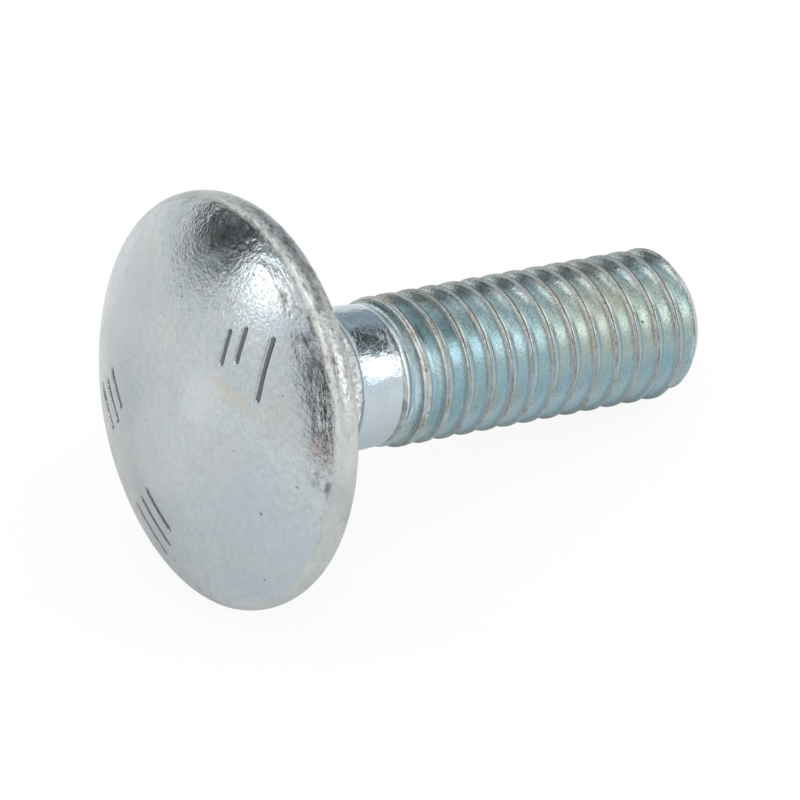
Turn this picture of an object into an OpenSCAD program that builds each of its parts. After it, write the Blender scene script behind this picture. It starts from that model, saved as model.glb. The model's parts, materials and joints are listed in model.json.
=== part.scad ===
// Carriage bolt, zinc plated, lying on its head's rim and the crest of its last full thread.
// Each shape is drawn about its own axis, with the bearing face at height 0 and the shank pointing up.

/* [Head] */
// Diameter of the head over its rim
head_d = 16; // [15.4:0.1:16.6]
// Height of the head, from the bearing face to the crown of the dome
head_h = 3.4; // [3.1:0.1:3.9]
// Thickness of the rim below the dome
rim_h = 1.0; // [0.7:0.05:1.3]
// Radius of the rim's rounded side
rim_round = 1.0; // [0.85:0.05:2]
// Height of the rim's widest place above the bearing face
rim_belly = 0.6; // [0.4:0.05:0.8]

/* [Square neck] */
// Width of the neck across its flats
neck_w = 6.0; // [5.6:0.1:6.4]
// Diameter over the neck's rounded corners
neck_corner_d = 8.1; // [7.6:0.1:8.4]
// Length of the neck, to where its end cone meets the shank
neck_h = 3.83; // [3.2:0.01:4.6]
// Slope of the neck's end cone from the axis, in degrees
neck_cone = 45; // [35:1:60]
// Turn of the flats about the bolt's axis, in degrees
neck_turn = 51; // [0:1:89]

/* [Shank] */
// Length of the bolt below the head
bolt_l = 20; // [16:0.5:30]
// Diameter of the plain shank
shank_d = 5.48; // [5.3:0.02:5.6]
// Distance from the bearing face to the end of the plain shank
shank_end = 5.6; // [4.9:0.1:7]

/* [Thread] */
// Diameter over the thread's crests
crest_d = 5.88; // [5.8:0.01:6]
// Pitch of the right-hand thread
pitch = 1.0; // [0.9:0.05:1.25]
// Distance from the bearing face to the first crest on the side that meets the floor
first_crest = 5.99; // [5.6:0.01:6.6]
// Length over which the first groove reaches its full depth
run_out = 1.35; // [0.8:0.05:2.5]
// Half the width that the run-out adds to its first crest
crest_spread = 0.14; // [0:0.01:0.18]
// Length over which the crests lose that extra width
spread_l = 3.5; // [2:0.25:6]
// Depth of the rolling seam along each crest
seam = 0.03; // [0.01:0.01:0.05]
// Diameter of the flat end
end_d = 4.7; // [4.4:0.05:4.9]
// Slope of the chamfer at the end, from the axis, in degrees
end_slope = 45; // [35:1:55]
// Facets in one turn of the thread
turn_facets = 36; // [24:4:48]

/* [Hidden] */
$fn = 96;

// The dome is a sphere's cap on the rim's front edge
head_r = head_d / 2;
rim_c = head_r - rim_round;
rim_front_r = rim_c + sqrt(pow(rim_round, 2) - pow(rim_h - rim_belly, 2));
dome_h = head_h - rim_h;
dome_r = (pow(rim_front_r, 2) + pow(dome_h, 2)) / (2 * dome_h);

// The neck's end cone runs from outside the corners down to the shank
shank_r = shank_d / 2;
cone_top_r = neck_corner_d / 2 + 1;
cone_h = (cone_top_r - shank_r) / tan(neck_cone);

// Sixty-degree thread with a rounded root: heights of its triangle, groove and root shoulder
crest_r = crest_d / 2;
thread_h = pitch * sqrt(3) / 2;
root_r = crest_r - thread_h * 17 / 24;
shoulder_r = crest_r - thread_h * 5 / 8;
crest_half = pitch / 16;
shoulder_half = pitch / 8;

// The threaded body starts a little thinner than the shank, inside it
start_step = 0.02;
start_lap = 0.4;
blank_r = shank_r - start_step;
body_z = shank_end - start_lap;
end_r = end_d / 2;
chamfer_h = (crest_r - end_r) / tan(end_slope);

// Each turn has six rows of points, and the rows run from one turn below the body to one turn above it
turn_rows = 6;
first_turn = floor((body_z - first_crest) / pitch) - 2;
last_turn = ceil((bolt_l - first_crest) / pitch) + 1;
top_row = (last_turn - first_turn) * turn_rows;
row_count = top_row + 1;
end_columns = [for (i = [0:turn_facets - 1]) row_limits(i)];

// Lying, the rim's side and the last full crest touch the floor
last_full = floor((bolt_l - chamfer_h - crest_half - first_crest) / pitch);
foot_z = first_crest + last_full * pitch + crest_half;
foot_run = foot_z + rim_belly;
foot_rise = rim_c - crest_r;
rest_tilt = atan2(foot_rise, foot_run) + asin(rim_round / norm([foot_run, foot_rise]));
axis_z = rim_c * cos(rest_tilt) - rim_belly * sin(rest_tilt) + rim_round;
crown_x = (dome_r - head_h) * cos(rest_tilt) - dome_r;
end_x = bolt_l * cos(rest_tilt) + end_r * sin(rest_tilt);

function limit(v, low, high) = max(low, min(high, v));

// Place of a row in its turn, from the crest's middle, in lengths along the axis
function row_shift(row, spread) =
    row == 0 ? -crest_half - spread
    : row == 1 ? 0
    : row == 2 ? crest_half + spread
    : row == 3 ? pitch / 2 - shoulder_half
    : row == 4 ? pitch / 2
    : pitch / 2 + shoulder_half;

// Radius of a row where the thread is complete
function row_radius(row) =
    row == 0 || row == 2 ? crest_r
    : row == 1 ? crest_r - seam
    : row == 4 ? root_r
    : shoulder_r;

// Distance along the axis of row k on column i, before the ends are cut
function crest_z(k, i) = first_crest + pitch * (first_turn + floor(k / turn_rows) + i / turn_facets);
function spread_at(z) = crest_spread * (1 - limit((z - shank_end) / spread_l, 0, 1));
function row_z(k, i) = crest_z(k, i) + row_shift(k % turn_rows, spread_at(crest_z(k, i)));

// Lowest and highest row that column i keeps: the body's two ends cut the others off
function row_limits(i) =
    [
        max([for (k = [0:top_row]) if (row_z(k, i) <= body_z) k]),
        min([for (k = [0:top_row]) if (row_z(k, i) >= bolt_l) k])
    ];

// Radius of the body: it grows from the blank into the thread, and the chamfer cuts it at the end
function formed(z) = limit((z - shank_end) / run_out, 0, 1);
function body_radius(row, z) =
    min(blank_r + formed(z) * (row_radius(row) - blank_r), end_r + (bolt_l - z) * tan(end_slope));

function row_point(k, i) =
    let (
        z = limit(row_z(k, i), body_z, bolt_l),
        r = body_radius(k % turn_rows, z),
        turn = i * 360 / turn_facets
    )
    [r * cos(turn), r * sin(turn), z];

// Number of the point on row k of column i, where the column after the last is the first, one turn on
function point_at(k, i) =
    i < turn_facets
    ? i * row_count + limit(k, end_columns[i][0], end_columns[i][1])
    : point_at(k + turn_rows, 0);

function low_row(i) = i < turn_facets ? end_columns[i][0] : end_columns[0][0] - turn_rows;
function high_row(i) = i < turn_facets ? end_columns[i][1] : end_columns[0][1] - turn_rows;
function whole(face) = face[0] != face[1] && face[1] != face[2] && face[2] != face[0];

// Domed head with its rounded rim and flat bearing face
module head() {
    rotate_extrude()
        intersection() {
            translate([0, dome_r - head_h])
                circle(r = dome_r);
            union() {
                translate([rim_c, -rim_belly])
                    circle(r = rim_round);
                translate([0, -head_h])
                    square([rim_c, head_h]);
            }
            translate([0, -head_h])
                square([head_r + 1, head_h]);
        }
}

// Square neck with rounded corners, which a cone brings down to the shank
module neck() {
    lap = rim_h / 2;
    intersection() {
        rotate(neck_turn)
            translate([0, 0, -lap])
                linear_extrude(neck_h + lap)
                    intersection() {
                        square(neck_w, center = true);
                        circle(d = neck_corner_d);
                    }
        union() {
            translate([0, 0, neck_h - cone_h])
                cylinder(h = cone_h, r1 = cone_top_r, r2 = shank_r);
            translate([0, 0, -lap])
                cylinder(h = neck_h - cone_h + lap, r = cone_top_r);
        }
    }
}

// Plain shank, from inside the head to the small step where the thread starts
module shank() {
    translate([0, 0, -rim_h / 2])
        cylinder(h = shank_end + rim_h / 2, r = shank_r);
}

// Threaded body: one closed skin, whose rows follow the helix and whose ends are flat
module threaded_body() {
    points = [for (i = [0:turn_facets - 1]) for (k = [0:top_row]) row_point(k, i)];
    start_point = len(points);
    end_point = start_point + 1;
    strips = [
        for (i = [0:turn_facets - 1])
            for (k = [min(low_row(i), low_row(i + 1)):max(high_row(i), high_row(i + 1)) - 1])
                let (
                    near = point_at(max(k, low_row(i)), i),
                    far = point_at(limit(k, low_row(i + 1), high_row(i + 1)), i + 1),
                    far_next = point_at(limit(k + 1, low_row(i + 1), high_row(i + 1)), i + 1),
                    near_next = point_at(limit(k + 1, low_row(i), high_row(i)), i)
                )
                    for (face = [[near, far_next, far], [near, near_next, far_next]])
                        if (whole(face)) face
    ];
    start_disc = [
        for (i = [0:turn_facets - 1])
            [start_point, point_at(low_row(i), i), point_at(low_row(i + 1), i + 1)]
    ];
    end_disc = [
        for (i = [0:turn_facets - 1])
            [end_point, point_at(high_row(i + 1), i + 1), point_at(high_row(i), i)]
    ];
    polyhedron(
        points = concat(points, [[0, 0, body_z], [0, 0, bolt_l]]),
        faces = concat(strips, start_disc, end_disc)
    );
}

// The whole bolt is one forged and rolled piece
module bolt() {
    color([0.72, 0.76, 0.78])
        translate([-(crown_x + end_x) / 2, 0, axis_z])
            rotate([0, 90 + rest_tilt, 0])
                union() {
                    head();
                    neck();
                    shank();
                    threaded_body();
                }
}

bolt();
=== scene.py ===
"""Dresses the carriage bolt: forged head, square neck and rolled thread in zinc plate, on a white floor."""
import json
import logging
import math
from dataclasses import dataclass
from enum import Enum
from typing import Callable, Optional, Union

import bmesh
import bpy
from mathutils import Matrix, Vector


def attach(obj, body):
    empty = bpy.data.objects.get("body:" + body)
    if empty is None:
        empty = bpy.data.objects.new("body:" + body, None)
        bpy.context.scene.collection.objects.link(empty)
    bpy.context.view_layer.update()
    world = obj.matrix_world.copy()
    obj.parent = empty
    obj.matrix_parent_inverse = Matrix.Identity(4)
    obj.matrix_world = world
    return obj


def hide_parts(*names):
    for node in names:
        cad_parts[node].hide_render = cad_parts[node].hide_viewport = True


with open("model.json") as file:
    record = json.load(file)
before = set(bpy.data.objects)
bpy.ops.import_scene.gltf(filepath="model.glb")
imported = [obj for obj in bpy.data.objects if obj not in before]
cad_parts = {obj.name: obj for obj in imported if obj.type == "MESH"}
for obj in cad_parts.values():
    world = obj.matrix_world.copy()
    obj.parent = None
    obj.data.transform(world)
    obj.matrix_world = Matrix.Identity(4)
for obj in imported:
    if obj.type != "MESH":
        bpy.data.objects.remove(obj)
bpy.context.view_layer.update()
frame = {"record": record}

MM = 0.001
WHITE = (1.0, 1.0, 1.0)
SEED = 7.0
STRUCK = "struck"

Socket = bpy.types.NodeSocket
log = logging.getLogger("carriage_bolt")


class Zone(Enum):
    """Regions of the bolt's skin, each with a finish of its own."""

    DOME = "dome_plate"
    RIM = "rim_plate"
    NECK = "neck_plate"
    SHANK = "shank_plate"
    THREAD = "thread_plate"
    TIP = "tip_plate"


class Value:
    """A socket that carries a number, so that an expression adds its Math nodes."""

    def __init__(self, graph: "Graph", socket: Socket) -> None:
        """Keeps the socket and the graph that new nodes go into."""
        self.graph = graph
        self.socket = socket

    def __add__(self, other: "Number") -> "Value":
        """Sum of two values."""
        return self.graph.math("ADD", self, other)

    __radd__ = __add__

    def __sub__(self, other: "Number") -> "Value":
        """This value less another."""
        return self.graph.math("SUBTRACT", self, other)

    def __rsub__(self, other: "Number") -> "Value":
        """A number less this value."""
        return self.graph.math("SUBTRACT", other, self)

    def __mul__(self, other: "Number") -> "Value":
        """Product of two values."""
        return self.graph.math("MULTIPLY", self, other)

    __rmul__ = __mul__

    def __truediv__(self, other: "Number") -> "Value":
        """This value divided by another."""
        return self.graph.math("DIVIDE", self, other)

    def __rtruediv__(self, other: "Number") -> "Value":
        """A number divided by this value."""
        return self.graph.math("DIVIDE", other, self)

    def __pow__(self, other: "Number") -> "Value":
        """This value raised to a power."""
        return self.graph.math("POWER", self, other)

    def __abs__(self) -> "Value":
        """This value without its sign."""
        return self.graph.math("ABSOLUTE", self)

    def least(self, other: "Number") -> "Value":
        """Smaller of two values."""
        return self.graph.math("MINIMUM", self, other)

    def most(self, other: "Number") -> "Value":
        """Larger of two values."""
        return self.graph.math("MAXIMUM", self, other)

    def ramp(self, start: "Number", end: "Number", soft: bool = False) -> "Value":
        """Grows from 0 at start to 1 at end, and stays there outside them.

        Args:
            start: value at which the ramp is 0.
            end: value at which the ramp is 1.
            soft: True for an easy start and end.

        Returns:
            A value from 0 to 1.
        """
        kind = "SMOOTHSTEP" if soft else "LINEAR"
        inputs = {"Value": self, "From Min": start, "From Max": end}
        return self.graph.value("ShaderNodeMapRange", inputs, "Result", interpolation_type=kind)


Number = Union[Value, float, int]


class Graph:
    """A node tree, with one method that makes its nodes."""

    def __init__(self, tree: bpy.types.NodeTree) -> None:
        """Keeps the tree, which starts empty."""
        self.tree = tree
        tree.nodes.clear()

    @staticmethod
    def pick(sockets: bpy.types.bpy_prop_collection, key: Union[str, int]) -> Socket:
        """Finds a socket among a node's inputs or outputs.

        Args:
            sockets: the inputs or outputs.
            key: number, identifier or name.

        Returns:
            The socket.
        """
        if isinstance(key, int):
            return sockets[key]
        by_identifier = [s for s in sockets if s.identifier == key]
        return by_identifier[0] if by_identifier else sockets[key]

    def node(self, kind: str, inputs: Optional[dict] = None, **settings: object) -> bpy.types.Node:
        """Makes a node: its settings first, then its sockets' values and links.

        Args:
            kind: the node's type.
            inputs: socket key to a number, a tuple, a Value or an output socket.
            settings: attributes of the node.

        Returns:
            The new node.
        """
        made = self.tree.nodes.new(kind)
        for name, setting in settings.items():
            setattr(made, name, setting)
        for key, given in (inputs or {}).items():
            socket = self.pick(made.inputs, key)
            source = given.socket if isinstance(given, Value) else given
            if isinstance(source, Socket):
                self.tree.links.new(source, socket)
            elif isinstance(source, tuple) and len(source) == 3 and socket.type == "RGBA":
                socket.default_value = (*source, 1.0)
            else:
                socket.default_value = source
        return made

    def value(self, kind: str, inputs: dict, output: Union[str, int] = 0, **settings: object) -> Value:
        """Makes a node and wraps one of its outputs as a number."""
        return Value(self, self.pick(self.node(kind, inputs, **settings).outputs, output))

    def math(self, operation: str, *terms: Number) -> Value:
        """Makes a Math node of one to three terms."""
        return self.value("ShaderNodeMath", dict(enumerate(terms)), operation=operation)

    def vector(self, operation: str, *terms: object) -> Socket:
        """Makes a Vector Math node of tuples or sockets."""
        return self.node("ShaderNodeVectorMath", dict(enumerate(terms)), operation=operation).outputs[0]

    def combine(self, *parts: Number) -> Socket:
        """Vector of three values."""
        return self.node("ShaderNodeCombineXYZ", dict(enumerate(parts))).outputs[0]

    def separate(self, vector: Socket) -> tuple[Value, ...]:
        """Three values of a vector."""
        return tuple(Value(self, part) for part in self.node("ShaderNodeSeparateXYZ", {0: vector}).outputs)

    def noise(self, place: Socket, size: float, detail: float, rough: float, turn: float = 0.0) -> Value:
        """Noise from 0 to 1 with a fixed seed.

        Args:
            place: where the noise is read.
            size: length of a bump.
            detail: octaves of the noise.
            rough: weight of the finer octaves.
            turn: added to the seed.

        Returns:
            The noise's value.
        """
        inputs = {"Vector": place, "W": SEED + turn, "Scale": 1 / size}
        inputs.update({"Detail": detail, "Roughness": rough})
        return self.value("ShaderNodeTexNoise", inputs, "Fac", noise_dimensions="4D")

    def paint(self, colour: object, *layers: tuple) -> object:
        """Lays tinted layers over a colour.

        Args:
            colour: what lies below, as a tuple or a socket.
            layers: share from 0 to 1 and colour of each layer, in order.

        Returns:
            The colour's socket.
        """
        for share, tint in layers:
            inputs = {"Factor_Float": share, "A_Color": colour, "B_Color": tint}
            mixed = self.node("ShaderNodeMix", inputs, data_type="RGBA")
            colour = self.pick(mixed.outputs, "Result_Color")
        return colour


def new_material(name: str) -> bpy.types.Material:
    """Makes a material that uses nodes.

    Args:
        name: its name.

    Returns:
        The material.
    """
    made = bpy.data.materials.new(name)
    made.use_nodes = True
    return made


def add_object(name: str, data: bpy.types.ID) -> bpy.types.Object:
    """Makes an object and puts it in the scene.

    Args:
        name: its name.
        data: its mesh, lamp or camera.

    Returns:
        The object.
    """
    made = bpy.data.objects.new(name, data)
    bpy.context.scene.collection.objects.link(made)
    return made


@dataclass(frozen=True)
class Stance:
    """Where the bolt lies: its own axis runs from the bearing face, at height 0, to the tip."""

    origin: Vector
    axis: Vector

    @classmethod
    def from_record(cls, record: dict) -> "Stance":
        """Reads the stance from the bearing face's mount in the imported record."""
        mount = next(m for m in record["mounts"] if m["name"] == "bearing_face")
        return cls(Vector(mount["pos_m"]), Vector(mount["axis"]).normalized())

    def matrix(self) -> Matrix:
        """Takes the bolt's own millimetres to the row frame; local +X faces the floor.

        Returns:
            The transform.
        """
        down = Vector((0, 0, -1))
        floor_side = (down - down.dot(self.axis) * self.axis).normalized()
        columns = Matrix((floor_side, self.axis.cross(floor_side), self.axis)).transposed()
        return Matrix.Translation(self.origin) @ columns.to_4x4() @ Matrix.Scale(MM, 4)


class Skin(Graph):
    """Tree of a finish, which reads places in millimetres of the bolt's own frame."""

    def __init__(self, tree: bpy.types.NodeTree, stance: Stance) -> None:
        """Adds the nodes that give the place.

        Args:
            tree: the material's tree.
            stance: where the bolt lies.
        """
        super().__init__(tree)
        own = stance.matrix().inverted()
        inputs = {
            "Location": tuple(own.to_translation()),
            "Rotation": tuple(own.to_euler()),
            "Scale": tuple(own.to_scale()),
            "Vector": self.node("ShaderNodeTexCoord").outputs["Object"],
        }
        self.place = self.node("ShaderNodeMapping", inputs).outputs[0]
        self.x, self.y, self.z = self.separate(self.place)

    def radius(self) -> Value:
        """Distance from the bolt's axis."""
        return (self.x * self.x + self.y * self.y) ** 0.5

    def mottle(self, size: float, detail: float, rough: float, turn: float = 0.0) -> Value:
        """Noise over the bolt, with the size of its bumps in millimetres."""
        return self.noise(self.place, size, detail, rough, turn)


@dataclass(frozen=True)
class StainOrLight:
    """A tinted patch of the skin, for stained spots and for painted shade, highlights and reflections: its
    middle, size and colour. Lengths are in millimetres.
    """

    middle: tuple
    reach: tuple
    colour: tuple
    share: float = 0.5
    rag: float = 2.0
    core: float = 0.3

    def cover(self, skin: Skin, ragged: Value) -> Value:
        """Share of the patch's colour.

        Args:
            skin: the finish's tree.
            ragged: noise from 0 to 1 that breaks the patch's edge.

        Returns:
            A value from 0 to the patch's share.
        """
        scaled = skin.vector("DIVIDE", skin.vector("SUBTRACT", skin.place, self.middle), self.reach)
        away = skin.value("ShaderNodeVectorMath", {0: scaled}, "Value", operation="LENGTH")
        return (away + (ragged - 0.5) * self.rag).ramp(1.0, self.core, True) * self.share


@dataclass(frozen=True)
class Plate:
    """Zinc plate with its passivation: tint, gloss, grain, streaks, pits, stained patches, and painted shade
    and reflections.

    Lengths are in millimetres. A pair whose name ends in _at holds the two levels between which a
    pattern comes in.
    """

    tint: tuple = (0.66, 0.71, 0.735)
    cool: tuple = (0.58, 0.665, 0.72)
    warm: tuple = (0.70, 0.68, 0.68)
    blotch_size: float = 1.6
    blotch_at: tuple = (0.42, 0.62)
    hue_size: float = 8 / 3
    hue_at: tuple = (0.5, 0.66)
    blotch_share: float = 0.6
    gloss: float = 0.17
    matte: float = 0.30
    matte_at: tuple = (0.3, 0.7)
    grain_size: float = 0.15
    grain_depth: float = 0.007
    grain_at: tuple = (0.55, 0.35)
    grain_shade: float = 0.10
    swell_size: float = 1.1
    swell_depth: float = 0.012
    streak_depth: float = 0.0
    streak_from: float = 0.0
    streak_blend: float = 0.6
    streak_size: tuple = (0.9, 0.16)
    streak_r: float = 8.0
    streak_at: tuple = (0.5, 0.32)
    streak_shade: float = 0.0
    shade_turn: float = 0.0
    shade_at: tuple = ()
    shade_rest: float = 0.15
    fleck_size: float = 0.35
    fleck_at: tuple = (0.42, 0.62)
    fleck_share: float = 0.0
    pit_size: float = 0.8
    pit_share: float = 0.12
    pit_r: float = 0.09
    pit_edge: float = 0.03
    pit_blend: float = 0.02
    pit_shade: float = 0.8
    dark_colour: tuple = (0.20, 0.20, 0.21)
    ragged_size: float = 0.3
    struck_shade_colour: tuple = (0.10, 0.11, 0.12)
    struck_share: float = 0.0
    struck_rag: float = 0.6
    struck_at: tuple = (0.15, 0.6)
    struck_rough: float = 0.15
    stains_and_light: tuple = ()

    def coat(self, skin: Skin) -> tuple:
        """Colour, roughness and height of the plate.

        Args:
            skin: the finish's tree.

        Returns:
            Colour socket, roughness value and height value.
        """
        blotch = skin.mottle(self.blotch_size, detail=3.0, rough=0.6)
        hue = skin.mottle(self.hue_size, detail=2.0, rough=0.5, turn=3.0)
        grain = skin.mottle(self.grain_size, detail=2.0, rough=0.6, turn=1.0)
        ragged = skin.mottle(self.ragged_size, detail=3.0, rough=0.7, turn=4.0)
        swell = skin.mottle(self.swell_size, detail=1.0, rough=0.5, turn=2.0)
        height = grain * self.grain_depth + swell * self.swell_depth
        dark_grain_and_shade = grain.ramp(*self.grain_at) * self.grain_shade
        if self.streak_depth:
            streak = self.streaks(skin)
            height = height + streak * self.streak_depth
            dark_grain_and_shade = dark_grain_and_shade + streak.ramp(*self.streak_at) * self.streak_shade
        # On the dome and rim the dark grain and streaks are deepened on one side of the head as painted dark
        # reflection.
        if self.shade_at:
            dark_grain_and_shade = dark_grain_and_shade * self.side(skin)
        layers = [
            (blotch.ramp(*self.blotch_at, True) * self.blotch_share, self.cool),
            (hue.ramp(*self.hue_at, True) * self.blotch_share, self.warm),
            (dark_grain_and_shade, self.dark_colour),
        ]
        if self.fleck_share:
            fleck = skin.mottle(self.fleck_size, detail=4.0, rough=0.7, turn=11.0)
            layers.append((fleck.ramp(*self.fleck_at) * self.fleck_share, self.dark_colour))
        layers += [(stain_or_light.cover(skin, ragged), stain_or_light.colour) for stain_or_light in self.stains_and_light]
        pits = self.pits(skin)
        layers.append((pits * self.pit_shade, self.dark_colour))
        rough = self.gloss + (self.matte - self.gloss) * blotch.ramp(*self.matte_at)
        # Painted shade: the struck grooves are darkened and roughened by their depth.
        if self.struck_share:
            struck = skin.value("ShaderNodeAttribute", {}, "Fac", attribute_name=STRUCK)
            dark = (struck + (ragged - 0.5) * self.struck_rag).ramp(*self.struck_at, True)
            dark = dark * self.struck_share
            layers.append((dark, self.struck_shade_colour))
            rough = rough + dark * self.struck_rough
        return skin.paint(self.tint, *layers), rough, height - pits * self.grain_depth

    def side(self, skin: Skin) -> Value:
        """Weight that keeps the painted light to one side of the head: full there and faint on the other.

        Args:
            skin: the finish's tree.

        Returns:
            A value up to 1.
        """
        angle = math.radians(self.shade_turn)
        toward = (skin.x * math.cos(angle) + skin.y * math.sin(angle)) / skin.radius()
        return toward.ramp(*self.shade_at, True) * (1 - self.shade_rest) + self.shade_rest

    def streaks(self, skin: Skin) -> Value:
        """Streaks that run round the axis, from a radius outwards.

        Args:
            skin: the finish's tree.

        Returns:
            Noise around 0.5, flat inside the starting radius.
        """
        radius = skin.radius()
        along, across = self.streak_size
        turn_scale = self.streak_r / along
        run = skin.combine(
            skin.x / radius * turn_scale, skin.y / radius * turn_scale, (radius + skin.z) / across
        )
        noise = skin.noise(run, size=1.0, detail=2.0, rough=0.6, turn=6.0)
        if not self.streak_from:
            return noise
        return (noise - 0.5) * radius.ramp(self.streak_from, self.streak_from + self.streak_blend) + 0.5

    def pits(self, skin: Skin) -> Value:
        """Small dark pits, a few of them in each stretch of plate.

        Args:
            skin: the finish's tree.

        Returns:
            1 in a pit and 0 outside.
        """
        cells = skin.node("ShaderNodeTexVoronoi", {"Vector": skin.place, "Scale": 1 / self.pit_size})
        share = skin.separate(cells.outputs["Color"])[0]
        first = 1 - self.pit_share
        size = share.ramp(first, 1.0) * self.pit_r
        inside = Value(skin, cells.outputs["Distance"]).ramp(size + self.pit_edge, size, True)
        return inside * share.ramp(first, first + self.pit_blend)

    def dress(self, skin: Skin) -> None:
        """Ends the tree with the plate's shader."""
        self.finish(skin, *self.coat(skin))

    @staticmethod
    def finish(skin: Skin, colour: object, rough: Number, height: Value) -> None:
        """Adds the metal shader and the output.

        Args:
            skin: the finish's tree.
            colour: base colour.
            rough: roughness.
            height: height in millimetres, which becomes the bump.
        """
        bump = skin.node("ShaderNodeBump", {"Strength": 1.0, "Distance": MM, "Height": height})
        inputs = {"Base Color": colour, "Metallic": 1.0, "Roughness": rough, "Normal": bump.outputs[0]}
        metal = skin.node("ShaderNodeBsdfPrincipled", inputs)
        skin.node("ShaderNodeOutputMaterial", {"Surface": metal.outputs[0]})

    def material(self, zone: Zone, stance: Stance) -> bpy.types.Material:
        """Makes the material of a region.

        Args:
            zone: the region.
            stance: where the bolt lies.

        Returns:
            The material.
        """
        made = new_material(zone.value)
        self.dress(Skin(made.node_tree, stance))
        return made


@dataclass(frozen=True)
class RimPlate(Plate):
    """Plate on the rim, with a painted highlight along the edge that it shares with the dome."""

    edge_z: float = -1.0
    edge_half: float = 0.11
    edge_core: float = 0.4
    edge_tint: tuple = (0.73, 0.75, 0.72)
    edge_jitter: float = 0.22
    jitter_size: float = 0.4
    edge_sheen_size: float = 0.625
    edge_sheen_at: tuple = (0.62, 0.46)
    edge_share: float = 0.75

    def coat(self, skin: Skin) -> tuple:
        """Colour, roughness and height, with the painted highlight on the edge.

        Args:
            skin: the finish's tree.

        Returns:
            Colour socket, roughness value and height value.
        """
        colour, rough, height = super().coat(skin)
        jitter = (skin.mottle(self.jitter_size, detail=3.0, rough=0.7, turn=12.0) - 0.5) * self.edge_jitter
        # Painted highlight: a pale line along the edge between dome and rim, broken into patches and kept to
        # one side of the head.
        half = self.edge_half
        edge = (abs(skin.z - self.edge_z) + jitter).ramp(half, self.edge_core * half, True)
        rubbed_and_sheen = skin.mottle(self.edge_sheen_size, detail=4.0, rough=0.75, turn=13.0).ramp(*self.edge_sheen_at)
        share = edge * rubbed_and_sheen * self.side(skin) * self.edge_share
        return skin.paint(colour, (share, self.edge_tint)), rough, height


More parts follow.
